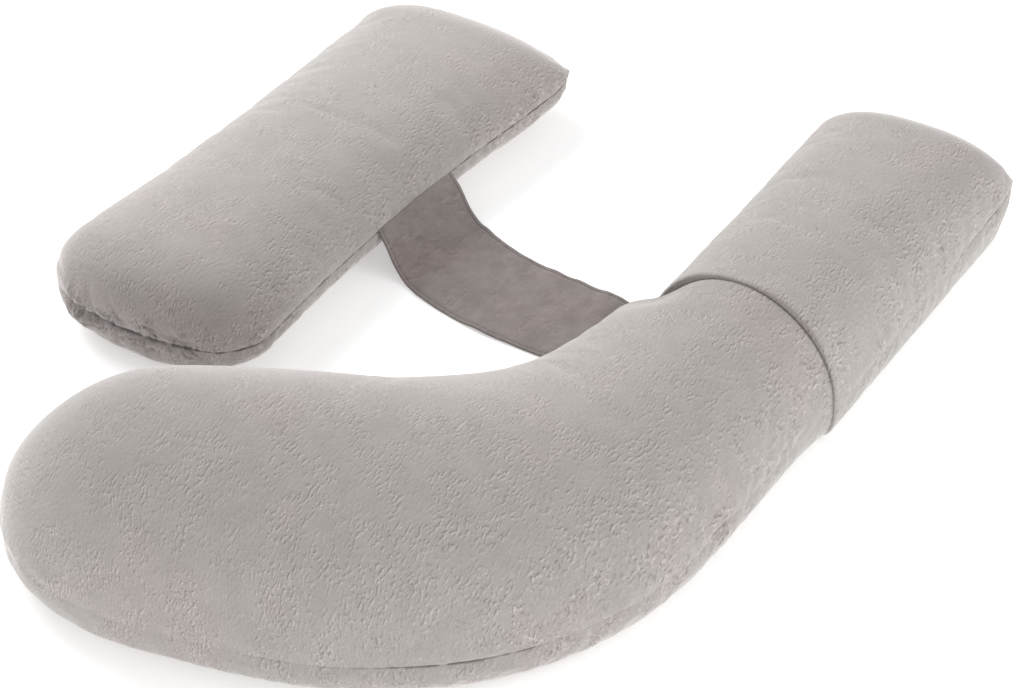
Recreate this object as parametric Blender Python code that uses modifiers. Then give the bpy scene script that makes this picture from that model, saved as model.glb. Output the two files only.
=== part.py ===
"""Pregnancy pillow for side sleeping, lying flat as it is laid out for use.

A fat J-shaped body pillow carries on, past a ring seam, into a straight head pillow. A separate
oblong back pillow lies beside it, and a wide cloth strap joins the two. Each pillow is two cloth
panels sewn together round their edge and filled, so each is modelled as a top and a bottom panel
that share one seam. Metres, +Z up, and the surface it lies on is z = 0. +Y runs along the head
pillow towards its far end, and the origin is on that surface, under the middle of the whole.
"""

import math
from collections import namedtuple

import bmesh
import bpy
import numpy as np
from mathutils import Vector

COLLECTION = "pregnancy_pillow"
PILLOW_COLOUR = (0.445, 0.418, 0.402, 1.0)
STRAP_COLOUR = (0.287, 0.250, 0.240, 1.0)
CLOTH_ROUGHNESS = 0.95

# Gap between pieces that are sewn to each other, and points closer than this are one point
GAP = 0.0003
SAME_POINT = 0.00001

# Steps of the smooth line worked out through a table of sections
RUN_STEPS = 400

# One row for each cross-section along a pillow: the middle of the section in plan, its half-widths to
# the left and right of the way along, and the heights of its crown and of its side seam
Section = namedtuple("Section", "x y left right crown seam")

# A sewn end: its length along the pillow, its roundness in plan (0 square, 1 round) and how the
# filling meets the seam there (0.3 blunt, 1 a knife edge)
SewnEnd = namedtuple("SewnEnd", "reach roundness taper")

# An end at the ring seam: the length over which it is drawn in, by how much all round, and by how
# much more at the left side
RingEnd = namedtuple("RingEnd", "reach inset shoulder")

# The underside meets the surface sooner with more press, and leaves the seam more sharply with more roll
Underside = namedtuple("Underside", "press roll")

# The ring seam is a groove between the two pillows' drawn-in rims
RING_X = 0.241
RING_Y = 0.023
RIM_INSET = 0.004

BODY_SECTIONS = (
    Section(-0.2430, -0.5050, 0.108, 0.102, 0.188, 0.045),
    Section(-0.1910, -0.4830, 0.121, 0.118, 0.188, 0.045),
    Section(-0.0555, -0.4277, 0.143, 0.155, 0.198, 0.045),
    Section(0.0754, -0.3649, 0.160, 0.179, 0.187, 0.045),
    Section(0.1746, -0.2718, 0.168, 0.162, 0.164, 0.045),
    Section(0.2266, -0.1443, 0.153, 0.115, 0.148, 0.044),
    Section(RING_X, -0.0160, 0.142, 0.099, 0.147, 0.040),
    Section(RING_X, RING_Y - GAP / 2, 0.142, 0.105, 0.150, 0.038),
)
BODY_LEG_TIP = SewnEnd(reach=0.148, roundness=0.89, taper=0.5)
BODY_RING_END = RingEnd(reach=0.016, inset=RIM_INSET, shoulder=0.034)
BODY_FULLNESS = 1.9
BODY_UNDERSIDE = Underside(press=1.5, roll=2.0)

HEAD_LENGTH = 0.422
HEAD_SECTIONS = (
    Section(RING_X, RING_Y + GAP / 2, 0.103, 0.106, 0.153, 0.038),
    Section(RING_X, RING_Y + HEAD_LENGTH, 0.111, 0.111, 0.118, 0.060),
)
HEAD_RING_END = RingEnd(reach=0.008, inset=RIM_INSET, shoulder=0.0)
HEAD_FAR_END = SewnEnd(reach=0.057, roundness=0.0, taper=0.54)
HEAD_FULLNESS = 2.44
HEAD_UNDERSIDE = Underside(press=1.56, roll=1.78)

BACK_SECTIONS = (
    Section(-0.3110, -0.2236, 0.133, 0.133, 0.117, 0.047),
    Section(-0.2973, 0.1046, 0.117, 0.117, 0.108, 0.047),
    Section(-0.2812, 0.4182, 0.127, 0.127, 0.091, 0.047),
)
BACK_NEAR_END = SewnEnd(reach=0.073, roundness=0.90, taper=0.3)
BACK_FAR_END = SewnEnd(reach=0.068, roundness=0.0, taper=0.72)
BACK_FULLNESS = 2.22
BACK_UNDERSIDE = Underside(press=1.12, roll=1.25)

# The strap is a double cloth. Each row gives where its near and far edges are in plan, and the height
# of its middle surface. It leaves the back pillow's side seam, drops to the surface, lies on it and
# ends just under the sides of the body and head pillows, whose undersides rest on its hidden end
STRAP_THICKNESS = 0.003
STRAP_FLAT = STRAP_THICKNESS / 2
StrapRow = namedtuple("StrapRow", "near_x near_y far_x far_y height")
STRAP_ROWS = (
    StrapRow(-0.1807, 0.0400, -0.1747, 0.1720, 0.0470),
    StrapRow(-0.1720, 0.0385, -0.1630, 0.1703, 0.0290),
    StrapRow(-0.1610, 0.0350, -0.1500, 0.1665, 0.0130),
    StrapRow(-0.1470, 0.0293, -0.1340, 0.1605, 0.0037),
    StrapRow(-0.1320, 0.0225, -0.1170, 0.1530, STRAP_FLAT),
    StrapRow(-0.1190, 0.0170, -0.1010, 0.1460, STRAP_FLAT),
    StrapRow(-0.0840, 0.0070, -0.0700, 0.1355, STRAP_FLAT),
    StrapRow(-0.0360, -0.0020, -0.0240, 0.1280, STRAP_FLAT),
    StrapRow(0.0240, -0.0050, 0.0300, 0.1235, STRAP_FLAT),
    StrapRow(0.0750, -0.0070, 0.0850, 0.1180, STRAP_FLAT),
    StrapRow(0.1150, -0.0080, 0.1480, 0.1140, STRAP_FLAT),
)
STRAP_COLUMNS = 8

# One row of points across a pillow: where it starts along the pillow, how far its middle lies past
# that in a sewn end, that end's roundness and taper, the point p reached in it (-1 to 1), and how
# far the row is drawn in all round and at the left side
Row = namedtuple("Row", "base reach roundness taper p inset shoulder")


def smooth_run(table):
    """The rows of a table at close steps along a smooth line through them, the way to each and its heading."""
    table = np.array(table)
    last = len(table) - 1
    # A cubic between each two rows, with the slopes that keep its bending even from one to the next;
    # it starts with no bend and ends on the straight line from the row before
    system = 4 * np.eye(last + 1) + np.eye(last + 1, k=1) + np.eye(last + 1, k=-1)
    system[0, 0] = 2
    system[last] = np.eye(last + 1)[last]
    pull = 3 * (np.vstack([table[1:], table[last:]]) - np.vstack([table[:1], table[:-1]]))
    pull[last] = table[last] - table[last - 1]
    slopes = np.linalg.solve(system, pull)
    at = np.linspace(0.0, last, RUN_STEPS + 1)[:, None]
    span = np.minimum(at[:, 0].astype(int), last - 1)
    t = at - span[:, None]
    run = (
        (1 + 2 * t) * (1 - t) ** 2 * table[span]
        + t * (1 - t) ** 2 * slopes[span]
        + t**2 * (3 - 2 * t) * table[span + 1]
        + t**2 * (t - 1) * slopes[span + 1]
    )
    ahead = (
        6 * t * (1 - t) * (table[span + 1] - table[span])
        + (1 - t) * (1 - 3 * t) * slopes[span]
        + t * (3 * t - 2) * slopes[span + 1]
    )[:, :2]
    ahead /= np.linalg.norm(ahead, axis=1, keepdims=True)
    way = np.concatenate([[0.0], np.cumsum(np.linalg.norm(np.diff(run[:, :2], axis=0), axis=1))])
    return way, run, ahead


def end_rows(end, inner, side, count):
    """The rows of one end from its inner side outwards; side is -1 at the start and 1 at the far end."""
    rows = []
    for turn in np.linspace(0.0, math.pi / 2, count + 1):
        if isinstance(end, SewnEnd):
            rows.append(Row(inner, end.reach, end.roundness, end.taper, side * math.sin(turn), 0.0, 0.0))
        else:
            drawn = 1 - math.cos(turn)
            base = inner + side * end.reach * math.sin(turn)
            rows.append(Row(base, 0.0, 0.0, 1.0, 0.0, end.inset * drawn, end.shoulder * drawn))
    return rows


def pillow_panels(sections, start, end, fullness, underside, middle_rows, end_steps, columns):
    """The points of a pillow's top and bottom panels, in rows along it and columns across it."""
    way, run, ahead = smooth_run(sections)
    first = end_rows(start, start.reach, -1, end_steps)[::-1]
    last = end_rows(end, way[-1] - end.reach, 1, end_steps)
    between = np.linspace(start.reach, way[-1] - end.reach, middle_rows + 1)[1:-1]
    middle = [Row(base, 0.0, 0.0, 1.0, 0.0, 0.0, 0.0) for base in between]

    # b runs from the right seam at -1 to the left seam at 1, with closer steps near the seams
    b = np.sin(np.linspace(-math.pi / 2, math.pi / 2, columns + 1))
    top, bottom = [], []
    for row in first + middle + last:
        along = row.base + row.reach * row.p * np.sqrt(1 - row.roundness * b**2 / 2)
        x, y, left, right, crown, seam = (np.interp(along, way, column) for column in run.T)
        ahead_x, ahead_y = (np.interp(along, way, column) for column in ahead.T)
        half = np.where(b > 0, left - row.shoulder, right)
        half_height = crown / 2
        drawn = 1 - row.inset / half_height
        out = half * b * np.sqrt(1 - row.roundness * row.p**2 / 2) * drawn
        fill = (1 - row.p**2) ** row.taper * np.sqrt(1 - np.abs(b) ** fullness)
        pressed = np.clip(underside.press * fill, 0.0, 1.0)
        high = half_height + (seam + (crown - seam) * fill - half_height) * drawn
        low = half_height + (seam * (1 - pressed) ** underside.roll - half_height) * drawn
        plan_x = x - ahead_y * out
        plan_y = y + ahead_x * out
        top.append(np.stack([plan_x, plan_y, high], axis=1))
        bottom.append(np.stack([plan_x, plan_y, low], axis=1))
    return top, bottom


def lay_grid(bm, points):
    """Lay a grid of faces on rows of points."""
    rows = len(points) - 1
    columns = len(points[0]) - 1
    grid = bmesh.ops.create_grid(bm, x_segments=rows, y_segments=columns, size=1.0)
    for vert in grid["verts"]:
        row = round((vert.co.x + 1) / 2 * rows)
        column = round((vert.co.y + 1) / 2 * columns)
        vert.co = Vector(points[row][column])


def sew_pillow(top, bottom):
    """Sew two panels together round their edge, and close an end that the ring seam leaves open."""
    bm = bmesh.new()
    lay_grid(bm, top)
    lay_grid(bm, bottom)
    bmesh.ops.remove_doubles(bm, verts=bm.verts, dist=SAME_POINT)
    open_edges = [edge for edge in bm.edges if edge.is_boundary]
    if open_edges:
        bmesh.ops.holes_fill(bm, edges=open_edges, sides=0)
    bmesh.ops.recalc_face_normals(bm, faces=bm.faces)
    if bm.calc_volume(signed=True) < 0:
        bmesh.ops.reverse_faces(bm, faces=bm.faces)
    return bm


def make_material(name, colour):
    material = bpy.data.materials.new(name)
    material.use_nodes = True
    shader = material.node_tree.nodes["Principled BSDF"]
    shader.inputs["Base Color"].default_value = colour
    shader.inputs["Roughness"].default_value = CLOTH_ROUGHNESS
    shader.inputs["Metallic"].default_value = 0.0
    return material


def add_piece(bm, name, colour, collection):
    mesh = bpy.data.meshes.new(name)
    bm.to_mesh(mesh)
    bm.free()
    mesh.shade_smooth()
    mesh.materials.append(make_material(name + "_cloth", colour))
    piece = bpy.data.objects.new(name, mesh)
    collection.objects.link(piece)
    return piece


def add_body_pillow(collection):
    top, bottom = pillow_panels(
        BODY_SECTIONS, BODY_LEG_TIP, BODY_RING_END, BODY_FULLNESS, BODY_UNDERSIDE,
        middle_rows=34, end_steps=6, columns=20,
    )
    return add_piece(sew_pillow(top, bottom), "body_pillow", PILLOW_COLOUR, collection)


def add_head_pillow(collection):
    top, bottom = pillow_panels(
        HEAD_SECTIONS, HEAD_RING_END, HEAD_FAR_END, HEAD_FULLNESS, HEAD_UNDERSIDE,
        middle_rows=10, end_steps=6, columns=18,
    )
    return add_piece(sew_pillow(top, bottom), "head_pillow", PILLOW_COLOUR, collection)


def add_back_pillow(collection):
    top, bottom = pillow_panels(
        BACK_SECTIONS, BACK_NEAR_END, BACK_FAR_END, BACK_FULLNESS, BACK_UNDERSIDE,
        middle_rows=16, end_steps=6, columns=18,
    )
    return add_piece(sew_pillow(top, bottom), "back_pillow", PILLOW_COLOUR, collection)


def add_joining_strap(collection):
    """A sheet through the strap's rows, thickened evenly to both sides."""
    points = []
    for row in STRAP_ROWS:
        near = np.array([row.near_x, row.near_y, row.height])
        far = np.array([row.far_x, row.far_y, row.height])
        points.append([near + (far - near) * share for share in np.linspace(0.0, 1.0, STRAP_COLUMNS + 1)])
    bm = bmesh.new()
    lay_grid(bm, points)
    bmesh.ops.recalc_face_normals(bm, faces=bm.faces)
    strap = add_piece(bm, "joining_strap", STRAP_COLOUR, collection)
    thicken = strap.modifiers.new("double cloth", "SOLIDIFY")
    thicken.thickness = STRAP_THICKNESS
    thicken.offset = 0.0
    thicken.use_even_offset = True
    return strap


def centre_in_plan(pieces):
    """Move the pieces together so that the origin is under the middle of the whole."""
    corners = np.array([vert.co for piece in pieces for vert in piece.data.vertices])
    middle = (corners.min(axis=0) + corners.max(axis=0)) / 2
    for piece in pieces:
        for vert in piece.data.vertices:
            vert.co.x -= middle[0]
            vert.co.y -= middle[1]


def build():
    for old in list(bpy.data.objects):
        bpy.data.objects.remove(old)
    collection = bpy.data.collections.new(COLLECTION)
    bpy.context.scene.collection.children.link(collection)
    pieces = [
        add_body_pillow(collection),
        add_head_pillow(collection),
        add_back_pillow(collection),
        add_joining_strap(collection),
    ]
    centre_in_plan(pieces)


build()
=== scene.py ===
"""Pregnancy pillow for side sleeping, dressed in warm grey velvet and laid out flat for use."""

import math
from collections import namedtuple

import bpy
import numpy as np
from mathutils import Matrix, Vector, noise
from mathutils.kdtree import KDTree


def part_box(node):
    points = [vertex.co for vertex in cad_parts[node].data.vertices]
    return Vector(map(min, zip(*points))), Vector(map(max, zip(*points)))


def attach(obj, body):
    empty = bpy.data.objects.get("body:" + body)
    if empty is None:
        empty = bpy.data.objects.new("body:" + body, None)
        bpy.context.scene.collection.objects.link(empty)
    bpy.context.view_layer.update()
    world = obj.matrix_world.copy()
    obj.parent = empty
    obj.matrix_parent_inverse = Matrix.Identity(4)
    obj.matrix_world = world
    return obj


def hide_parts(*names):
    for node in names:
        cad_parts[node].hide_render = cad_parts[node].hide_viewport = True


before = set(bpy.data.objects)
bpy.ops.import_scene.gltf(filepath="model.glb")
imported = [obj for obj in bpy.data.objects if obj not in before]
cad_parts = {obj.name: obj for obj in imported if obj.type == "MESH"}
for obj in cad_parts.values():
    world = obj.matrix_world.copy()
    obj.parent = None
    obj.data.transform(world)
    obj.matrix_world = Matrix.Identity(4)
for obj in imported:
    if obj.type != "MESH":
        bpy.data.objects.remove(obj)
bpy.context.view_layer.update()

# Body pillow. The fat J-shaped leg and belly pillow: two panels of short-pile velvet, sewn together
# round their edge, turned out and stuffed hard with polyester fibre. Its narrow end is sewn to the
# head pillow at the ring seam.

# Places in plan are measured from the spot where the camera looks, which is found from the ring seam
RING_X = 0.241
RING_Y = 0.023
head_low, head_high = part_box("head_pillow")
SPOT = np.array([(head_low[0] + head_high[0]) / 2 - RING_X, head_low[1] - RING_Y, 0.0])

# A cross-section along a pillow: its middle in plan, its half-widths left and right of the way along,
# and the heights of its crown and its side seam
Section = namedtuple("Section", "x y left right crown seam")

# An end with a seam across it: its length, its roundness in plan and how bluntly it is filled
SewnEnd = namedtuple("SewnEnd", "reach roundness taper")

# An end at the ring seam: how long its shoulder on the left side is and how far that steps in, then how
# long the turn-in of its rim is and how far that goes
RingEnd = namedtuple("RingEnd", "reach shoulder rim inset")

# How flat the underside is pressed, and how it rolls down to the surface it rests on
Underside = namedtuple("Underside", "press roll")

# A row of points across a pillow: its number along the pillow from 0 to 3, and where it runs
Row = namedtuple("Row", "place base reach roundness taper p inset shoulder")

RUN_STEPS = 400


def smooth_run(table):
    """A table's rows at close steps along a smooth line, with the way to each and its heading."""
    table = np.array(table)
    last = len(table) - 1
    system = 4 * np.eye(last + 1) + np.eye(last + 1, k=1) + np.eye(last + 1, k=-1)
    system[0, 0] = 2
    system[last] = np.eye(last + 1)[last]
    pull = 3 * (np.vstack([table[1:], table[last:]]) - np.vstack([table[:1], table[:-1]]))
    pull[last] = table[last] - table[last - 1]
    slopes = np.linalg.solve(system, pull)
    at = np.linspace(0.0, last, RUN_STEPS + 1)[:, None]
    span = np.minimum(at[:, 0].astype(int), last - 1)
    t = at - span[:, None]
    run = (
        (1 + 2 * t) * (1 - t) ** 2 * table[span]
        + t * (1 - t) ** 2 * slopes[span]
        + t**2 * (3 - 2 * t) * table[span + 1]
        + t**2 * (t - 1) * slopes[span + 1]
    )
    ahead = (
        6 * t * (1 - t) * (table[span + 1] - table[span])
        + (1 - t) * (1 - 3 * t) * slopes[span]
        + t * (3 * t - 2) * slopes[span + 1]
    )[:, :2]
    ahead /= np.linalg.norm(ahead, axis=1, keepdims=True)
    way = np.concatenate([[0.0], np.cumsum(np.linalg.norm(np.diff(run[:, :2], axis=0), axis=1))])
    return way, run, ahead


# How strongly the rows and columns of points crowd together towards the seam
COARSE_CROWD = 0.25
FINE_CROWD = 0.72


def crowded(steps, crowd):
    """Shares from 0 to 1 that crowd together towards 1, where the seam is."""
    share = np.linspace(0.0, 1.0, steps + 1)
    return share + crowd * np.sin(math.pi * share) / math.pi


def end_rows(end, inner, side, steps, crowd):
    """The rows of one end from its inner side outwards; side is -1 at the start and 1 at the far end."""
    rows = []
    for share in crowded(steps, crowd):
        place = 1 - share if side < 0 else 2 + share
        turn = share * math.pi / 2
        if isinstance(end, SewnEnd):
            rows.append(Row(place, inner, end.reach, end.roundness, end.taper, side * math.sin(turn), 0, 0))
        else:
            left_over = end.reach * (1 - math.sin(turn))
            in_rim = max(0.0, 1 - left_over / end.rim)
            inset = end.inset * (1 - math.sqrt(1 - in_rim**2))
            base = inner + side * end.reach * math.sin(turn)
            rows.append(Row(place, base, 0, 0, 1, 0, inset, end.shoulder * (1 - math.cos(turn))))
    return rows


def lay_panels(cut, middle_rows, end_steps, columns, crowd):
    """The points of a pillow's top and bottom panels, with the places of their rows and columns."""
    way, run, ahead = smooth_run(cut.sections)
    first = end_rows(cut.start, cut.start.reach, -1, end_steps, crowd)[::-1]
    last = end_rows(cut.end, way[-1] - cut.end.reach, 1, end_steps, crowd)
    between = np.linspace(0.0, 1.0, middle_rows + 1)[1:-1]
    span = way[-1] - cut.end.reach - cut.start.reach
    middle = [Row(1 + share, cut.start.reach + span * share, 0, 0, 1, 0, 0, 0) for share in between]
    rows = first + middle + last
    half_turn = crowded(columns // 2, crowd) * math.pi / 2
    angle = np.concatenate([-half_turn[:0:-1], half_turn])
    b = np.sin(angle)
    top, bottom = [], []
    for row in rows:
        along = row.base + row.reach * row.p * np.sqrt(1 - row.roundness * b**2 / 2)
        x, y, left, right, crown, seam = (np.interp(along, way, column) for column in run.T)
        ahead_x, ahead_y = (np.interp(along, way, column) for column in ahead.T)
        half = np.where(b > 0, left - row.shoulder, right)
        half_height = crown / 2
        drawn = 1 - row.inset / half_height
        out = half * b * np.sqrt(1 - row.roundness * row.p**2 / 2) * drawn
        fill = (1 - row.p**2) ** row.taper * np.sqrt(np.maximum(0, 1 - np.abs(b) ** cut.fullness))
        pressed = np.clip(cut.underside.press * fill, 0.0, 1.0)
        high = half_height + (seam + (crown - seam) * fill - half_height) * drawn
        low = half_height + (seam * (1 - pressed) ** cut.underside.roll - half_height) * drawn
        plan_x = x - ahead_y * out
        plan_y = y + ahead_x * out
        top.append(np.stack([plan_x, plan_y, high], axis=1) + SPOT)
        bottom.append(np.stack([plan_x, plan_y, low], axis=1) + SPOT)
    return np.array(top), np.array(bottom), np.array([row.place for row in rows]), angle


def grid_faces(ids, order):
    """The four-cornered faces of a grid of numbered points; order -1 turns them over."""
    corners = np.stack([ids[:-1, :-1], ids[1:, :-1], ids[1:, 1:], ids[:-1, 1:]], axis=-1)
    return corners.reshape(-1, 4)[:, ::order].tolist()


def sew_panels(top, bottom, start_sewn, end_sewn):
    """Both panels' points in one list with a shared seam, the faces, and the points' numbers."""
    count, columns = top.shape[:2]
    top_ids = np.arange(count * columns).reshape(count, columns)
    inner = np.zeros((count, columns), bool)
    inner[int(start_sewn) : count - int(end_sewn), 1:-1] = True
    bottom_ids = top_ids.copy()
    bottom_ids[inner] = top_ids.size + np.arange(inner.sum())
    points = np.concatenate([top.reshape(-1, 3), bottom[inner]])
    faces = grid_faces(top_ids, 1) + grid_faces(bottom_ids, -1)
    if not start_sewn:
        faces.append(top_ids[0].tolist() + bottom_ids[0, -2:0:-1].tolist())
    if not end_sewn:
        faces.append(top_ids[-1, ::-1].tolist() + bottom_ids[-1, 1:-1].tolist())
    return points, faces, top_ids, bottom_ids


# Keeps a division from failing where a length is nothing
TINY = 1e-12


def outward(points, faces):
    """The way out of the cloth at each point."""
    quads = np.array([face for face in faces if len(face) == 4])
    cross = np.cross(points[quads[:, 2]] - points[quads[:, 0]], points[quads[:, 3]] - points[quads[:, 1]])
    total = np.zeros_like(points)
    for corner in range(4):
        for axis in range(3):
            total[:, axis] += np.bincount(quads[:, corner], cross[:, axis], len(points))
    return total / np.maximum(np.linalg.norm(total, axis=1, keepdims=True), TINY)


def evened(values, faces, times):
    """Values spread over the neighbouring points of a cover again and again."""
    quads = np.array([face for face in faces if len(face) == 4])
    ends = np.concatenate([quads[:, [corner, (corner + 1) % 4]] for corner in range(4)])
    near, far = ends[:, 0], ends[:, 1]
    share = np.maximum(np.bincount(near, minlength=len(values)), 1)
    for _ in range(times):
        values = 0.5 * values + 0.5 * np.bincount(near, values[far], len(values)) / share
    return values


# The cover is cut a little larger than its shape, is held where it lies this near the surface that it
# rests on, and swells by no more than the cap
CLOTH_FRAMES = 20
CLOTH_SPARE = -0.045
SWELL_CAP = 0.014
RESTING = 0.004
SWELL_EVENED = 40


def stuffed_wrinkles(cut, middle_rows, end_steps, columns):
    """Fill a coarse copy of a cover as cloth, held at its seam and where it rests, and return its wrinkles.

    The wrinkles are what is left of the cloth's movement, out of the cover, when the even swelling is
    taken off. They come as a grid for each panel, with the places of the rows and columns.
    """
    top, bottom, places, angle = lay_panels(cut, middle_rows, end_steps, columns, COARSE_CROWD)
    points, faces, top_ids, bottom_ids = sew_panels(top, bottom, cut.start_sewn, cut.end_sewn)
    mesh = bpy.data.meshes.new("stuffing")
    mesh.from_pydata(points.tolist(), [], faces)
    cover = bpy.data.objects.new("stuffing", mesh)
    bpy.context.scene.collection.objects.link(cover)
    edge = np.zeros(top_ids.shape, bool)
    edge[:, [0, -1]] = True
    edge[[0, -1]] = True
    held = set(top_ids[edge].tolist()) | set(np.flatnonzero(points[:, 2] < RESTING).tolist())
    cover.vertex_groups.new(name="held").add(sorted(held), 1.0, "REPLACE")
    cloth = cover.modifiers.new("stuffing", "CLOTH")
    cloth.settings.quality = 6
    cloth.settings.mass = 0.25
    cloth.settings.tension_stiffness = 12
    cloth.settings.compression_stiffness = 12
    cloth.settings.shear_stiffness = 4
    cloth.settings.bending_stiffness = 0.15
    cloth.settings.vertex_group_mass = "held"
    cloth.settings.use_pressure = True
    cloth.settings.uniform_pressure_force = 4
    cloth.settings.shrink_min = CLOTH_SPARE
    cloth.settings.effector_weights.gravity = 0
    cloth.collision_settings.use_collision = False
    cloth.point_cache.frame_end = CLOTH_FRAMES
    for step in range(1, CLOTH_FRAMES + 1):
        bpy.context.scene.frame_set(step)
    filled = cover.evaluated_get(bpy.context.evaluated_depsgraph_get()).data
    moved = np.empty(len(points) * 3)
    filled.vertices.foreach_get("co", moved)
    moved = moved.reshape(-1, 3) - points
    bpy.data.objects.remove(cover)
    bpy.data.meshes.remove(mesh)
    bpy.context.scene.frame_set(1)
    out = (moved * outward(points, faces)).sum(axis=1)
    out = SWELL_CAP * np.tanh(out / SWELL_CAP)
    wrinkles = out - evened(out, faces, SWELL_EVENED)
    return wrinkles[top_ids], wrinkles[bottom_ids], places, angle


def between_rows(values, at):
    """Values at fractional row numbers, on a smooth line through the rows."""
    span = np.clip(at.astype(int), 0, len(values) - 2)
    t = (at - span)[:, None]
    before = values[np.maximum(span - 1, 0)]
    near = values[span]
    far = values[span + 1]
    after = values[np.minimum(span + 2, len(values) - 1)]
    bend = 2 * before - 5 * near + 4 * far - after + t * (3 * (near - far) + after - before)
    return near + 0.5 * t * (far - before + t * bend)


def refined(values, places, angle, fine_places, fine_angle):
    """A coarse grid of values on the rows and columns of the fine panels."""
    rows = between_rows(values, np.interp(fine_places, places, np.arange(len(places))))
    return between_rows(rows.T, np.interp(fine_angle, angle, np.arange(len(angle)))).T


def seam_line(top, start_sewn, end_sewn):
    """The points of the side seam in order, from one end of it to the other."""
    right, left = top[:, 0], top[:, -1]
    if start_sewn and not end_sewn:
        return np.concatenate([left[::-1], top[0, -2::-1], right[1:]])
    line = [right, top[-1, 1:], left[-2::-1]]
    if start_sewn:
        line.append(top[0, -2::-1])
    return np.concatenate(line)


def beside_seam(points, line):
    """How far each point is from the seam, and how far along the seam its nearest spot lies."""
    way = np.concatenate([[0.0], np.cumsum(np.linalg.norm(np.diff(line, axis=0), axis=1))])
    tree = KDTree(len(line))
    for number, point in enumerate(line):
        tree.insert(point, number)
    tree.balance()
    nearest = np.array([tree.find(point)[1] for point in points])
    away = np.full(len(points), np.inf)
    along = np.zeros(len(points))
    for number in (np.maximum(nearest - 1, 0), np.minimum(nearest, len(line) - 2)):
        start = line[number]
        step = line[number + 1] - start
        share = ((points - start) * step).sum(axis=1) / np.maximum((step**2).sum(axis=1), TINY)
        share = np.clip(share, 0.0, 1.0)
        far = np.linalg.norm(points - start - share[:, None] * step, axis=1)
        closer = far < away
        away[closer] = far[closer]
        along[closer] = (way[number] + share * (way[number + 1] - way[number]))[closer]
    return away, along


# An irregular wave is this many plain ones of lengths in between, brought back to about 1 by its level
WAVES = 6
WAVE_SPREAD = (0.9, 1.1)
WAVE_LEVEL = 2.4


def uneven(along, shortest, longest, seed):
    """An irregular wave along the seam, from about -1 to 1."""
    rng = np.random.default_rng(seed)
    total = np.zeros_like(along)
    for length in np.geomspace(shortest, longest, WAVES):
        turns = along / (length * rng.uniform(*WAVE_SPREAD))
        total += np.sin(2 * math.pi * turns + rng.uniform(0, 2 * math.pi))
    return total / WAVE_LEVEL


# The seam lies in a soft dip between the two panels, which swell a little beside it, with a fine sunk
# line where they meet, plainer in some places than in others
DIP_WIDTH = 0.0060
SEAM_LINE = 0.0018
SEAM_LINE_WIDTH = 0.0009
# The bottom of the seam's line is painted with shade over this width
SEAM_SHADE_WIDTH = 1.5 * SEAM_LINE_WIDTH
LINE_UNEVEN = 0.35
LINE_SPACING = (0.012, 0.060)
LIP_SHARE = 0.6
LIP_AWAY = 0.013
LIP_WIDTH = 0.008

# The points of a corner are turned out by hand, so they stay plain and a little blunt
CORNER_PLAIN = 0.014
CORNER_BLUNT = 0.016
BLUNT_EVENED = 60

# Folds that run out from the seam: how far apart they are, where beside the seam they start, their
# reach with its even and uneven shares, how they lean and wander, how narrow they are, and the share
# of their depth by which the cloth stands up between them
SeamFolds = namedtuple(
    "SeamFolds",
    "spacing start reach reach_even reach_uneven reach_spacing lean wander wander_spacing narrow level",
)

# Small creases lie between the puffed lobes of a seam
CREASES = SeamFolds(
    spacing=(0.020, 0.070),
    start=0.0050,
    reach=0.017,
    reach_even=1.2,
    reach_uneven=0.6,
    reach_spacing=(0.040, 0.090),
    lean=0.25,
    wander=0.35,
    wander_spacing=(0.050, 0.110),
    narrow=0.30,
    level=0.35,
)

# Puckers are the shorter, steeper folds where the seam is gathered
PUCKERS = SeamFolds(
    spacing=(0.010, 0.030),
    start=0.0025,
    reach=0.011,
    reach_even=1.3,
    reach_uneven=0.7,
    reach_spacing=(0.020, 0.050),
    lean=0.60,
    wander=0.80,
    wander_spacing=(0.030, 0.070),
    narrow=0.34,
    level=0.40,
)

# The stuffing is never quite even under the cloth, and only part of the wrinkles of a filling cover
# stay when it is smoothed by hand; near the surface that it rests on, the cloth is pressed flat
DENT_SIZE = 0.085
DENT_DEPTH = 0.0016
WRINKLES_KEPT = 0.26
PRESSED_BELOW = 0.020
WAY_OUT_EVENED = 2

# A hollow sinks only the top panel: it begins at this height and is full this much above it
HOLLOW_FROM = 0.050
HOLLOW_OVER = 0.040

# A pillow that ends at the ring seam is drawn tight there, so nothing wrinkles within this distance of
# it, and the groove between the two rims is dark with shade
RING_CALM = 0.030
RING_DARK = 0.0030

# A stretch of seam that differs from the rest: where it is in plan, how far it reaches, the depths of
# its creases, its puckers and its dip, and how plainly its line shows from 0 to 1
Gather = namedtuple("Gather", "x y reach creases puckers dip line")

# A place where the filling is thin and the top panel has sunk: where it is in plan, its reach and depth
Hollow = namedtuple("Hollow", "x y reach depth")

# A pillow's whole cut, with the creases, dip and line of its seam away from any gathers
Cut = namedtuple(
    "Cut",
    "sections start end fullness underside start_sewn end_sewn"
    " gathers creases dip line ring_dark hollows seed",
)


def folds_from_seam(folds, away, along, side, seed):
    """How deep the narrow valleys that run out from the seam are; between them the cloth stands up."""
    wander = folds.wander * uneven(along, *folds.wander_spacing, seed + 1)
    slanted = along + away * (folds.lean * side + wander)
    spread = folds.reach_even + folds.reach_uneven * uneven(along, *folds.reach_spacing, seed + 2)
    fade = np.exp(-((away / (folds.reach * spread)) ** 2))
    start = 1 - np.exp(-((away / folds.start) ** 2))
    valleys = np.exp(-((uneven(slanted, *folds.spacing, seed) / folds.narrow) ** 2))
    return (valleys - folds.level) * start * fade


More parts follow.
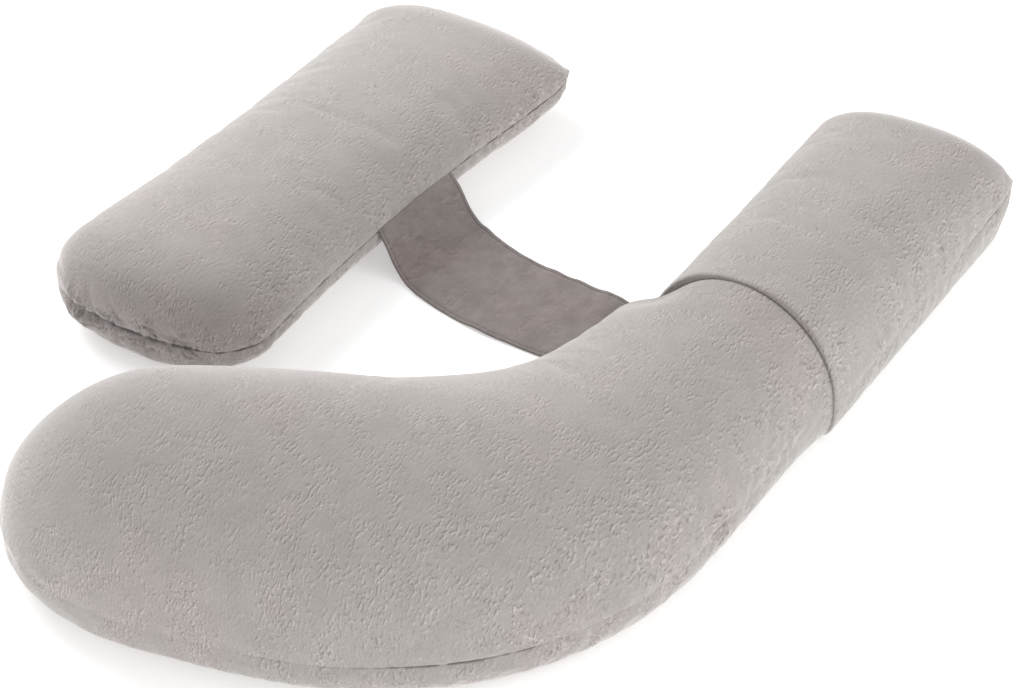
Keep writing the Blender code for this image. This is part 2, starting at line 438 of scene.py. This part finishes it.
def shape_cover(cut, coarse, fine):
    """The points and faces of a finished cover, and how much painted shade each point has in the groove of
    its seam or of the ring seam, from 0 to 1.
    """
    top, bottom, places, angle = lay_panels(cut, *fine, FINE_CROWD)
    points, faces, top_ids, bottom_ids = sew_panels(top, bottom, cut.start_sewn, cut.end_sewn)
    rise = np.zeros(len(points))
    top_wrinkles, bottom_wrinkles, rows, columns = stuffed_wrinkles(cut, *coarse)
    rise[bottom_ids] = refined(bottom_wrinkles, rows, columns, places, angle)
    rise[top_ids] = refined(top_wrinkles, rows, columns, places, angle)
    away, along = beside_seam(points, seam_line(top, cut.start_sewn, cut.end_sewn))
    creases = np.full(len(points), cut.creases)
    puckers = np.zeros(len(points))
    dip = np.full(len(points), cut.dip)
    line = np.full(len(points), cut.line)
    for gather in cut.gathers:
        offset = points[:, :2] - SPOT[:2] - [gather.x, gather.y]
        strength = np.exp(-(offset**2).sum(axis=1) / gather.reach**2)
        creases += gather.creases * strength
        puckers += gather.puckers * strength
        dip += gather.dip * strength
        line += (gather.line - cut.line) * strength
    from_ring = np.abs(points[:, 1] - SPOT[1] - RING_Y)
    calm = 1 - np.exp(-((from_ring / RING_CALM) ** 2)) if cut.ring_dark > 0 else 1.0
    corners = top[[0, 0, -1, -1], [0, -1, 0, -1]]
    to_corner = np.linalg.norm(points[:, None] - corners, axis=2).min(axis=1)
    calm = calm * (1 - np.exp(-((to_corner / CORNER_PLAIN) ** 2)))
    side = np.ones(len(points))
    side[bottom_ids] = -1.0
    side[top_ids] = 1.0
    rise = WRINKLES_KEPT * rise
    rise -= creases * folds_from_seam(CREASES, away, along, side, cut.seed)
    rise -= puckers * folds_from_seam(PUCKERS, away, along, side, cut.seed + 3)
    rise -= dip * np.exp(-((away / DIP_WIDTH) ** 2))
    line = np.clip(line * (1 + LINE_UNEVEN * uneven(along, *LINE_SPACING, cut.seed + 6)), 0.0, 1.0)
    rise -= SEAM_LINE * line * np.exp(-((away / SEAM_LINE_WIDTH) ** 2))
    rise += LIP_SHARE * dip * np.exp(-(((away - LIP_AWAY) / LIP_WIDTH) ** 2))
    dents = [noise.noise(Vector(point) / DENT_SIZE + Vector((cut.seed, 0, 0))) for point in points]
    unpressed = np.clip(points[:, 2] / PRESSED_BELOW, 0.0, 1.0)
    rise = unpressed * calm * (rise + DENT_DEPTH * np.array(dents))
    for hollow in cut.hollows:
        offset = points[:, :2] - SPOT[:2] - [hollow.x, hollow.y]
        upper = np.clip((points[:, 2] - HOLLOW_FROM) / HOLLOW_OVER, 0.0, 1.0)
        rise -= hollow.depth * upper * np.exp(-(offset**2).sum(axis=1) / hollow.reach**2)
    out = outward(points, faces)
    out = np.stack([evened(axis, faces, WAY_OUT_EVENED) for axis in out.T], axis=1)
    points = points + out * rise[:, None]
    blunt = np.exp(-((to_corner / CORNER_BLUNT) ** 2))[:, None]
    soft = np.stack([evened(axis, faces, BLUNT_EVENED) for axis in points.T], axis=1)
    points = points + (soft - points) * blunt
    points[:, 2] = np.maximum(points[:, 2], 0.0)
    # Painted shade from 0 to 1: the bottom of the seam's line and the groove at the ring seam are painted
    # darker
    sunk = line * np.exp(-((away / SEAM_SHADE_WIDTH) ** 2))
    sunk = np.maximum(sunk, cut.ring_dark * np.exp(-((from_ring / RING_DARK) ** 2)))
    return points, faces, sunk


def cloth_node(tree, kind, **inputs):
    """A node with some of its inputs set."""
    node = tree.nodes.new(kind)
    for name, value in inputs.items():
        node.inputs[name].default_value = value
    return node


# The lie of the pile wanders by this much, and only the higher strokes of it stand up
LIE_WANDERS = (0.005, 0.005, 0.005)
STROKES_STAND = (0.50, 0.68)


def nap_of_pile(tree, stroke, aside):
    """Short strokes along the lie of the pile, seen a little aside; the socket is the pile's height."""
    place = tree.nodes.new("ShaderNodeTexCoord")
    wander = cloth_node(tree, "ShaderNodeTexNoise", Scale=30.0, Detail=2.0, Roughness=0.5)
    tree.links.new(place.outputs["Object"], wander.inputs["Vector"])
    turned = tree.nodes.new("ShaderNodeVectorMath")
    turned.operation = "MULTIPLY_ADD"
    turned.inputs[1].default_value = LIE_WANDERS
    tree.links.new(wander.outputs["Color"], turned.inputs[0])
    tree.links.new(place.outputs["Object"], turned.inputs[2])
    lie = tree.nodes.new("ShaderNodeMapping")
    lie.inputs["Location"].default_value = tuple(shift / size for shift, size in zip(aside, stroke))
    lie.inputs["Scale"].default_value = tuple(1 / size for size in stroke)
    tree.links.new(turned.outputs["Vector"], lie.inputs["Vector"])
    nap = cloth_node(tree, "ShaderNodeTexNoise", Scale=1.0, Detail=1.5, Roughness=0.5)
    tree.links.new(lie.outputs["Vector"], nap.inputs["Vector"])
    return ramp_between(tree, nap.outputs["Fac"], STROKES_STAND, (0.0, 1.0))


def reckoned(tree, operation, first, second):
    """Two values added, subtracted or multiplied; the second is a socket or a number."""
    node = tree.nodes.new("ShaderNodeMath")
    node.operation = operation
    tree.links.new(first, node.inputs[0])
    if isinstance(second, (int, float)):
        node.inputs[1].default_value = second
    else:
        tree.links.new(second, node.inputs[1])
    return node.outputs["Value"]


def ramp_between(tree, factor, span, values):
    """A smooth ramp over a span of a factor, from the first value to the second."""
    ramp = tree.nodes.new("ShaderNodeMapRange")
    ramp.interpolation_type = "SMOOTHSTEP"
    ramp.inputs["From Min"].default_value = span[0]
    ramp.inputs["From Max"].default_value = span[1]
    ramp.inputs["To Min"].default_value = values[0]
    ramp.inputs["To Max"].default_value = values[1]
    tree.links.new(factor, ramp.inputs["Value"])
    return ramp.outputs["Result"]


def blended(tree, factor, first, second):
    """A mix of two colours, each a colour or a socket."""
    mix = tree.nodes.new("ShaderNodeMix")
    mix.data_type = "RGBA"
    for socket, colour in ((mix.inputs["A"], first), (mix.inputs["B"], second)):
        if isinstance(colour, tuple):
            socket.default_value = colour
        else:
            tree.links.new(colour, socket)
    tree.links.new(factor, mix.inputs["Factor"])
    return mix.outputs["Result"]


def shaded(tree, colour, value):
    """A colour made lighter or darker by a grey value."""
    times = tree.nodes.new("ShaderNodeVectorMath")
    times.operation = "SCALE"
    tree.links.new(colour, times.inputs["Vector"])
    tree.links.new(value, times.inputs["Scale"])
    return times.outputs["Vector"]


# The length of a pillow's nap marks along each axis, how strongly their painted light and shade show, and
# how mottled the pile is
NAP_STROKE = (0.0022, 0.0062, 0.0040)
NAP_MARKS = 0.34
NAP_MOTTLING = 0.035

# Each mark gets painted light on one side and painted shade on the other, from the nap seen this far aside
# of itself towards the light; marks lie in clusters, with fewer of them between
NAP_ASIDE = (0.0012, -0.0008, -0.0006)
CLUSTERS_OVER = (0.36, 0.62)
BETWEEN_CLUSTERS = 0.30

# How far the patches go from grey to rosy, how dark the painted shade on the back pillow's near end is, the
# light and dark of single fibres, and how dark the painted shade at the bottom of a seam is
ROSY_OVER = (0.45, 0.68)
PAINTED_END_SHADE = 0.80
FIBRE_SHADES = (0.955, 1.045)
SEAM_SHADE = 0.30


def short_pile_velvet(name, grey, rosy, stroke=NAP_STROKE, marks=NAP_MARKS, mottling=NAP_MOTTLING):
    """Short-pile velvet: marks along the lie of its pile with painted light and shade on their sides, rosy
    and grey patches, painted shade in seams and on one pillow's end, and a pale sheen.
    """
    material = bpy.data.materials.new(name)
    material.use_nodes = True
    tree = material.node_tree
    shader = tree.nodes["Principled BSDF"]
    shader.inputs["Roughness"].default_value = 0.92
    shader.inputs["Specular IOR Level"].default_value = 0.15
    shader.inputs["Sheen Weight"].default_value = 0.95
    shader.inputs["Sheen Roughness"].default_value = 0.38
    shader.inputs["Sheen Tint"].default_value = (1.0, 0.965, 0.94, 1.0)
    place = tree.nodes.new("ShaderNodeTexCoord")
    patches = cloth_node(tree, "ShaderNodeTexNoise", Scale=7.0, Detail=3.0, Roughness=0.6)
    tree.links.new(place.outputs["Object"], patches.inputs["Vector"])
    # Painted shade: the back pillow's near end is painted darker and rosier where it lies in shade
    brushed = tree.nodes.new("ShaderNodeAttribute")
    brushed.attribute_name = "brushed"
    rosiness = ramp_between(tree, patches.outputs["Fac"], ROSY_OVER, (0.0, 1.0))
    colour = blended(tree, reckoned(tree, "ADD", rosiness, brushed.outputs["Fac"]), grey, rosy)
    turned = ramp_between(tree, brushed.outputs["Fac"], (0.0, 1.0), (1.0, PAINTED_END_SHADE))
    colour = shaded(tree, colour, turned)
    mottled = cloth_node(tree, "ShaderNodeTexNoise", Scale=42.0, Detail=3.0, Roughness=0.6)
    tree.links.new(place.outputs["Object"], mottled.inputs["Vector"])
    mottles = ramp_between(tree, mottled.outputs["Fac"], (0.3, 0.7), (1 - mottling, 1 + mottling))
    colour = shaded(tree, colour, mottles)

    # Each mark is pile pushed over, with painted light on its side towards the light and painted shade on
    # its far side
    nap = nap_of_pile(tree, stroke, (0.0, 0.0, 0.0))
    beside = nap_of_pile(tree, stroke, NAP_ASIDE)
    clusters = cloth_node(tree, "ShaderNodeTexNoise", Scale=28.0, Detail=2.0, Roughness=0.5)
    tree.links.new(place.outputs["Object"], clusters.inputs["Vector"])
    clustered = ramp_between(tree, clusters.outputs["Fac"], CLUSTERS_OVER, (BETWEEN_CLUSTERS, 1.0))
    edge = reckoned(tree, "MULTIPLY", reckoned(tree, "SUBTRACT", nap, beside), clustered)
    colour = shaded(tree, colour, reckoned(tree, "ADD", reckoned(tree, "MULTIPLY", edge, marks), 1.0))
    pile = cloth_node(tree, "ShaderNodeTexNoise", Scale=900.0, Detail=1.0, Roughness=0.5)
    tree.links.new(place.outputs["Object"], pile.inputs["Vector"])
    colour = shaded(tree, colour, ramp_between(tree, pile.outputs["Fac"], (0.3, 0.7), FIBRE_SHADES))
    # Painted shade: the bottom of a seam and the groove at the ring seam are painted darker
    sunk = tree.nodes.new("ShaderNodeAttribute")
    sunk.attribute_name = "sunk"
    colour = shaded(tree, colour, ramp_between(tree, sunk.outputs["Fac"], (0.1, 1.0), (1.0, SEAM_SHADE)))
    tree.links.new(colour, shader.inputs["Base Color"])
    strokes = tree.nodes.new("ShaderNodeBump")
    strokes.inputs["Strength"].default_value = 0.26
    strokes.inputs["Distance"].default_value = 0.0008
    tree.links.new(reckoned(tree, "MULTIPLY", nap, clustered), strokes.inputs["Height"])
    fibres = tree.nodes.new("ShaderNodeBump")
    fibres.inputs["Strength"].default_value = 0.4
    fibres.inputs["Distance"].default_value = 0.0003
    tree.links.new(pile.outputs["Fac"], fibres.inputs["Height"])
    tree.links.new(strokes.outputs["Normal"], fibres.inputs["Normal"])
    tree.links.new(fibres.outputs["Normal"], shader.inputs["Normal"])
    return material


def finish_cloth(name, points, faces, material, **marks):
    """A cloth piece as an object, with marks such as how much painted shade each point has."""
    mesh = bpy.data.meshes.new(name)
    mesh.from_pydata(points.tolist(), [], faces)
    mesh.shade_smooth()
    for mark, values in marks.items():
        mesh.attributes.new(mark, "FLOAT", "POINT").data.foreach_set("value", values.astype(np.float32))
    mesh.materials.append(material)
    piece = bpy.data.objects.new(name, mesh)
    bpy.context.scene.collection.objects.link(piece)
    return piece


# Half of the groove between the two rims at the ring seam
HALF_GROOVE = 0.0002

pillow_velvet = short_pile_velvet(
    "warm_grey_velvet", grey=(0.398, 0.374, 0.356, 1), rosy=(0.408, 0.369, 0.357, 1)
)

body_cut = Cut(
    sections=(
        Section(-0.2430, -0.5050, 0.108, 0.102, 0.188, 0.045),
        Section(-0.1910, -0.4830, 0.121, 0.118, 0.188, 0.045),
        Section(-0.0555, -0.4277, 0.143, 0.155, 0.198, 0.045),
        Section(0.0754, -0.3649, 0.160, 0.179, 0.187, 0.045),
        Section(0.1746, -0.2718, 0.168, 0.162, 0.164, 0.045),
        Section(0.2266, -0.1443, 0.153, 0.115, 0.148, 0.044),
        Section(RING_X, -0.0160, 0.142, 0.099, 0.147, 0.040),
        Section(RING_X, RING_Y - HALF_GROOVE, 0.142, 0.105, 0.150, 0.038),
    ),
    start=SewnEnd(reach=0.148, roundness=0.89, taper=0.5),
    end=RingEnd(reach=0.016, shoulder=0.034, rim=0.0030, inset=0.0012),
    fullness=1.9,
    underside=Underside(press=1.5, roll=2.0),
    start_sewn=True,
    end_sewn=False,
    gathers=(
        Gather(0.225, -0.475, 0.090, 0.0008, 0.0014, 0.0014, 0.95),
        Gather(0.080, -0.560, 0.050, 0.0012, 0.0010, 0.0006, 0.30),
        Gather(0.320, -0.350, 0.035, 0.0010, 0.0008, 0.0006, 0.30),
        Gather(0.335, -0.195, 0.019, 0.0024, 0.0020, 0.0034, 0.50),
    ),
    creases=0.0007,
    dip=0.0004,
    line=0.04,
    ring_dark=1.0,
    hollows=(Hollow(0.155, 0.012, 0.034, 0.012),),
    seed=11,
)
body_points, body_faces, body_sunk = shape_cover(body_cut, coarse=(88, 14, 44), fine=(250, 30, 100))
body_cover = finish_cloth("body_pillow_cover", body_points, body_faces, pillow_velvet, sunk=body_sunk)
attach(body_cover, "root")
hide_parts("body_pillow")

# Head pillow. The straight, slimmer section that carries on from the body pillow: the same velvet and
# stuffing, with a flat seam across its far end. Its near rim is turned in and sewn to the body
# pillow's rim at the ring seam, and stands a little proud of it.

head_cut = Cut(
    sections=(
        Section(RING_X, RING_Y + HALF_GROOVE, 0.103, 0.106, 0.153, 0.038),
        Section(RING_X, RING_Y + 0.4220, 0.111, 0.111, 0.118, 0.060),
    ),
    start=RingEnd(reach=0.008, shoulder=0.0, rim=0.0036, inset=0.0022),
    end=SewnEnd(reach=0.057, roundness=0.32, taper=0.50),
    fullness=2.44,
    underside=Underside(press=1.56, roll=1.78),
    start_sewn=False,
    end_sewn=True,
    gathers=(
        Gather(0.345, 0.400, 0.090, 0.0006, 0.0012, 0.0010, 1.0),
    ),
    creases=0.0006,
    dip=0.0004,
    line=0.08,
    ring_dark=0.03,
    hollows=(),
    seed=23,
)
head_points, head_faces, head_sunk = shape_cover(head_cut, coarse=(48, 10, 36), fine=(110, 26, 88))
head_cover = finish_cloth("head_pillow_cover", head_points, head_faces, pillow_velvet, sunk=head_sunk)
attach(head_cover, "root")
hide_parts("head_pillow")

# Back pillow. The separate oblong pillow behind the sleeper's back: two panels of the same velvet,
# rounded at the near end and square at the far end. The filling hole was in the near end, so its seam
# there is gathered into puckers and one tucked fold.

back_cut = Cut(
    sections=(
        Section(-0.3110, -0.2236, 0.133, 0.133, 0.117, 0.041),
        Section(-0.2973, 0.1046, 0.117, 0.117, 0.108, 0.047),
        Section(-0.2812, 0.4212, 0.131, 0.131, 0.091, 0.047),
    ),
    start=SewnEnd(reach=0.073, roundness=0.90, taper=0.3),
    end=SewnEnd(reach=0.068, roundness=0.50, taper=0.66),
    fullness=2.22,
    underside=Underside(press=1.12, roll=1.25),
    start_sewn=True,
    end_sewn=True,
    gathers=(
        Gather(-0.372, -0.212, 0.022, 0.0030, 0.0060, 0.0060, 1.0),
        Gather(-0.320, -0.225, 0.060, 0.0020, 0.0090, -0.0010, 1.0),
        Gather(-0.230, -0.222, 0.050, 0.0008, 0.0040, -0.0012, 1.0),
        Gather(-0.165, 0.350, 0.080, 0.0008, 0.0020, 0.0, 0.9),
    ),
    creases=0.0010,
    dip=0.0014,
    line=0.60,
    ring_dark=0.0,
    hollows=(),
    seed=37,
)
back_points, back_faces, back_sunk = shape_cover(back_cut, coarse=(66, 10, 38), fine=(130, 34, 140))

# Painted shade: below its crown, the near end of the back pillow faces away from the light, so it is painted
# darker and rosier there
END_SHADE_Y = -0.115
END_SHADE_OVER = 0.085
END_SHADE_BELOW = 0.125
END_SHADE_DEPTH = 0.060
near_end_shade = 0.5 + 0.5 * np.tanh((SPOT[1] + END_SHADE_Y - back_points[:, 1]) / END_SHADE_OVER * 2)
near_end_shade *= np.clip((END_SHADE_BELOW - back_points[:, 2]) / END_SHADE_DEPTH, 0.0, 1.0)
back_cover = finish_cloth(
    "back_pillow_cover", back_points, back_faces, pillow_velvet, sunk=back_sunk, brushed=near_end_shade
)
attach(back_cover, "root")
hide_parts("back_pillow")

# Joining strap. A wide flat band of darker velvet, doubled, turned out and top-stitched near both
# edges. It is caught in the back pillow's side seam, drops to the surface, lies on it, and its other
# end is sewn underneath the body and head pillows beside the ring seam.

# Across the strap: its near and far edges in plan, and the height of its middle surface; it lies flat
# at half its thickness and a little
STRAP_THICKNESS = 0.0028
STRAP_FLAT = 0.0016
StrapRow = namedtuple("StrapRow", "near_x near_y far_x far_y height")
STRAP_ROWS = (
    StrapRow(-0.1840, 0.0405, -0.1782, 0.1722, 0.0478),
    StrapRow(-0.1720, 0.0385, -0.1630, 0.1703, 0.0290),
    StrapRow(-0.1610, 0.0350, -0.1500, 0.1665, 0.0130),
    StrapRow(-0.1470, 0.0293, -0.1340, 0.1605, 0.0037),
    StrapRow(-0.1320, 0.0225, -0.1170, 0.1530, STRAP_FLAT),
    StrapRow(-0.1190, 0.0170, -0.1010, 0.1460, STRAP_FLAT),
    StrapRow(-0.0840, 0.0070, -0.0700, 0.1355, STRAP_FLAT),
    StrapRow(-0.0360, -0.0020, -0.0240, 0.1280, STRAP_FLAT),
    StrapRow(0.0240, -0.0050, 0.0300, 0.1235, STRAP_FLAT),
    StrapRow(0.0750, -0.0070, 0.0850, 0.1180, STRAP_FLAT),
    StrapRow(0.1150, -0.0080, 0.1480, 0.1140, STRAP_FLAT),
)
STRAP_LONG_STEPS = 150
STRAP_CROSS_STEPS = 64
STRAP_WIDTH = 0.132

# Soft creases and finer ripples rise from the strap: how fast they change with x and y, and how high
# they stand. Near the seam that holds it, over this part of the first row, it is drawn flat.
CREASE_TURNS = ((42, 10), (0, 16))
CREASE_LAYER = 3.7
CREASE_HEIGHT = 0.0016
CREASE_EVEN = 0.5
CREASE_UNEVEN = 1.4
RIPPLE_TURNS = ((95, 0), (30, 60))
RIPPLE_LAYER = 9.1
RIPPLE_HEIGHT = 0.0007
DRAWN_FLAT = 0.8

# The doubled cloth is rolled thin at its rims and drawn in along its rows of stitches, and nowhere
# goes below the surface that it lies on
RIM_ROLL = 0.0022
RIM_SHARE = 0.12
TOPSTITCH_IN = 0.0055
TOPSTITCH_WIDTH = 0.0012
TOPSTITCH_DEPTH = 0.55
LEAST_HEIGHT = 0.0002

# How dark the painted shade is in the drawn-in stitched lines and along the rolled rims, and how far in from
# the rim that goes
STITCHED_SHADE = 0.45
RIM_SHADE = 0.65
RIM_SHADE_WIDTH = 0.002


def strap_waves(middle, turns, layer):
    """A soft noise over the strap's points; each layer of it is unlike the others."""
    (first_x, first_y), (second_x, second_y) = turns
    return np.array([
        [
            noise.noise(Vector((p[0] * first_x + p[1] * first_y, p[0] * second_x + p[1] * second_y, layer)))
            for p in row
        ]
        for row in middle
    ])


def strap_surface():
    """The strap's middle surface in rows and columns, with its soft creases, and its way out."""
    table = np.array(STRAP_ROWS)
    steps = np.linspace(0, len(table) - 1, STRAP_LONG_STEPS + 1)
    rows = between_rows(table, steps)
    share = 0.5 - 0.5 * np.cos(np.linspace(0, math.pi, STRAP_CROSS_STEPS + 1))
    near = np.stack([rows[:, 0], rows[:, 1], rows[:, 4]], axis=1)[:, None]
    far = np.stack([rows[:, 2], rows[:, 3], rows[:, 4]], axis=1)[:, None]
    middle = near + (far - near) * share[None, :, None] + SPOT
    out = np.cross(np.gradient(middle, axis=0), np.gradient(middle, axis=1))
    out /= np.linalg.norm(out, axis=2, keepdims=True)
    creases = strap_waves(middle, CREASE_TURNS, CREASE_LAYER)
    ripples = strap_waves(middle, RIPPLE_TURNS, RIPPLE_LAYER)
    rise = CREASE_HEIGHT * (CREASE_EVEN + creases * CREASE_UNEVEN) + RIPPLE_HEIGHT * ripples
    free = np.clip(steps / DRAWN_FLAT, 0, 1)[:, None]
    middle[:, :, 2] += np.maximum(rise, 0) * free
    return middle, out, share


def sew_strap():
    """The strap's two faces with soft rims, how far each column is from an edge, and how much painted shade
    it has.
    """
    middle, out, share = strap_surface()
    from_edge = np.minimum(share, 1 - share) * STRAP_WIDTH
    puffed = np.sqrt(np.clip(from_edge / RIM_ROLL, 0.0, 1.0))
    stitched = np.exp(-(((from_edge - TOPSTITCH_IN) / TOPSTITCH_WIDTH) ** 2))
    half = STRAP_THICKNESS / 2 * (RIM_SHARE + (1 - RIM_SHARE) * puffed) * (1 - TOPSTITCH_DEPTH * stitched)
    top = middle + out * half[None, :, None]
    bottom = middle - out * half[None, :, None]
    top[:, :, 2] += np.maximum(LEAST_HEIGHT - bottom[:, :, 2], 0)
    bottom[:, :, 2] = np.maximum(bottom[:, :, 2], LEAST_HEIGHT)
    # Painted shade: the cloth is painted darker in the drawn-in stitched lines and along the rolled rims
    dark = STITCHED_SHADE * stitched + RIM_SHADE * np.exp(-from_edge / RIM_SHADE_WIDTH)
    return top, bottom, from_edge, dark


def strap_faces(shape):
    """The faces of both sides of the strap and of the rim round it."""
    ids = np.arange(shape[0] * shape[1]).reshape(shape)
    rim = np.concatenate([ids[0], ids[1:, -1], ids[-1, -2::-1], ids[-2:0:-1, 0]])
    after = np.roll(rim, -1)
    edge = np.stack([rim, after, after + ids.size, rim + ids.size], axis=1)
    return grid_faces(ids, 1) + grid_faces(ids + ids.size, -1) + edge.tolist()


strap_top, strap_bottom, strap_from_edge, strap_painted_shade = sew_strap()
strap_velvet = short_pile_velvet(
    "dark_grey_velvet",
    grey=(0.262, 0.232, 0.222, 1),
    rosy=(0.290, 0.230, 0.228, 1),
    stroke=(0.0070, 0.0100, 0.0070),
    marks=0.26,
    mottling=0.09,
)
strap_cloth = finish_cloth(
    "joining_strap_cloth",
    np.concatenate([strap_top.reshape(-1, 3), strap_bottom.reshape(-1, 3)]),
    strap_faces(strap_top.shape[:2]),
    strap_velvet,
    sunk=np.tile(strap_painted_shade, 2 * len(strap_top)),
)

# A stitch is a short length of thread with rounded ends, a little sunk in the pile; its rings are shares
# of its length and its radius. The rows of stitches start at one seam and stop short of the other.
STITCH_LONG = 0.0030
STITCH_STEP = 0.0042
STITCH_RADIUS = 0.00038
STITCH_SUNK = 0.35
STITCH_SIDES = 6
STITCH_RINGS = ((0.0, 0.25), (0.12, 0.75), (0.35, 1.0), (0.65, 1.0), (0.88, 0.75), (1.0, 0.25))
FIRST_STITCH = 0.004
LAST_STITCH_BEFORE = 0.030


def topstitches(column):
    """The stitches along one column of the strap's upper face, as points and faces of small capsules."""
    line = strap_top[:, column]
    way = np.concatenate([[0.0], np.cumsum(np.linalg.norm(np.diff(line, axis=0), axis=1))])
    points, faces = [], []
    for start in np.arange(FIRST_STITCH, way[-1] - LAST_STITCH_BEFORE, STITCH_STEP):
        ends = [np.array([np.interp(s, way, axis) for axis in line.T]) for s in (start, start + STITCH_LONG)]
        forward = (ends[1] - ends[0]) / np.linalg.norm(ends[1] - ends[0])
        side = np.cross([0.0, 0.0, 1.0], forward)
        side /= np.linalg.norm(side)
        up = np.cross(forward, side)
        first = len(points)
        for share, round_share in STITCH_RINGS:
            raised = up * STITCH_RADIUS * (round_share - STITCH_SUNK)
            centre = ends[0] + (ends[1] - ends[0]) * share + raised
            for turn in range(STITCH_SIDES):
                angle = 2 * math.pi * turn / STITCH_SIDES
                ring = side * math.cos(angle) + up * math.sin(angle)
                points.append(centre + ring * STITCH_RADIUS * round_share)
        for ring in range(len(STITCH_RINGS) - 1):
            for turn in range(STITCH_SIDES):
                a = first + ring * STITCH_SIDES + turn
                b = first + ring * STITCH_SIDES + (turn + 1) % STITCH_SIDES
                faces.append([a, b, b + STITCH_SIDES, a + STITCH_SIDES])
        faces.append([first + turn for turn in reversed(range(STITCH_SIDES))])
        last_ring = first + (len(STITCH_RINGS) - 1) * STITCH_SIDES
        faces.append([last_ring + turn for turn in range(STITCH_SIDES)])
    return points, faces


def polyester_thread():
    """Spun polyester thread, a shade darker than the strap, with a fine twist."""
    material = bpy.data.materials.new("polyester_thread")
    material.use_nodes = True
    tree = material.node_tree
    shader = tree.nodes["Principled BSDF"]
    shader.inputs["Roughness"].default_value = 0.7
    place = tree.nodes.new("ShaderNodeTexCoord")
    twist = cloth_node(tree, "ShaderNodeTexWave", Scale=420.0, Distortion=1.5, Detail=1.0)
    tree.links.new(place.outputs["Object"], twist.inputs["Vector"])
    colour = blended(tree, twist.outputs["Fac"], (0.16, 0.145, 0.138, 1), (0.25, 0.23, 0.22, 1))
    tree.links.new(colour, shader.inputs["Base Color"])
    return material


strap_half = STRAP_CROSS_STEPS // 2
near_stitched = int(np.abs(strap_from_edge[:strap_half] - TOPSTITCH_IN).argmin())
far_stitched = strap_half + int(np.abs(strap_from_edge[strap_half:] - TOPSTITCH_IN).argmin())
stitch_points, stitch_faces = [], []
for column in (near_stitched, far_stitched):
    new_points, new_faces = topstitches(column)
    stitch_faces += [[number + len(stitch_points) for number in face] for face in new_faces]
    stitch_points += new_points
stitching = finish_cloth(
    "joining_strap_stitching", np.array(stitch_points), stitch_faces, polyester_thread()
)
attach(strap_cloth, "root")
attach(stitching, "root")
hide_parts("joining_strap")

# Floor, light and camera. A plain white surface that glows slightly, so that it shows as pure white in
# a white studio. A big soft light stands at the upper left, with a weaker one at the right and a faint
# low one in front.

FLOOR_HALF = 6.0
floor_mesh = bpy.data.meshes.new("floor")
floor_corners = [(x * FLOOR_HALF, y * FLOOR_HALF, 0.0) for x, y in ((-1, -1), (1, -1), (1, 1), (-1, 1))]
floor_mesh.from_pydata(floor_corners, [], [[0, 1, 2, 3]])
floor = bpy.data.objects.new("floor", floor_mesh)
bpy.context.scene.collection.objects.link(floor)
floor_paint = bpy.data.materials.new("floor_paint")
floor_paint.use_nodes = True
floor_shader = floor_paint.node_tree.nodes["Principled BSDF"]
floor_shader.inputs["Base Color"].default_value = (0.93, 0.93, 0.93, 1)
floor_shader.inputs["Roughness"].default_value = 0.9
floor_shader.inputs["Emission Color"].default_value = (1.0, 1.0, 1.0, 1)
floor_shader.inputs["Emission Strength"].default_value = 0.35
floor_mesh.materials.append(floor_paint)

world = bpy.data.worlds.new("white_studio")
world.use_nodes = True
world.node_tree.nodes["Background"].inputs["Color"].default_value = (1.0, 1.0, 1.0, 1)
world.node_tree.nodes["Background"].inputs["Strength"].default_value = 0.56
bpy.context.scene.world = world
bpy.context.scene.view_settings.view_transform = "Standard"

LIGHTS_AIM = Vector((0.0, 0.0, 0.05))


def soft_light(name, place, size, power):
    """A square area light aimed at the middle of the pillow."""
    data = bpy.data.lights.new(name, "AREA")
    data.shape = "SQUARE"
    data.size = size
    data.energy = power
    light = bpy.data.objects.new(name, data)
    light.location = place
    light.rotation_euler = (LIGHTS_AIM - light.location).to_track_quat("-Z", "Y").to_euler()
    bpy.context.scene.collection.objects.link(light)


soft_light("light_left", Vector((-2.1, 0.75, 1.55)), size=1.8, power=58)
soft_light("light_right", Vector((2.2, 0.5, 1.2)), size=1.6, power=21)
soft_light("light_front", Vector((0.5, -1.8, 0.5)), size=1.2, power=6.5)

CAMERA_AZIMUTH = math.radians(30.8)
CAMERA_ELEVATION = math.radians(37.0)
CAMERA_LENS_MM = 120
SENSOR_MM = 36
CAMERA_AWAY = 3.4133
camera_data = bpy.data.cameras.new("camera")
camera_data.lens = CAMERA_LENS_MM
camera_data.sensor_width = SENSOR_MM
camera = bpy.data.objects.new("camera", camera_data)
away = Vector((
    math.sin(CAMERA_AZIMUTH) * math.cos(CAMERA_ELEVATION),
    -math.cos(CAMERA_AZIMUTH) * math.cos(CAMERA_ELEVATION),
    math.sin(CAMERA_ELEVATION),
))
camera.location = Vector(SPOT) + away * CAMERA_AWAY
camera.rotation_euler = (-away).to_track_quat("-Z", "Y").to_euler()
bpy.context.scene.collection.objects.link(camera)
bpy.context.scene.camera = camera
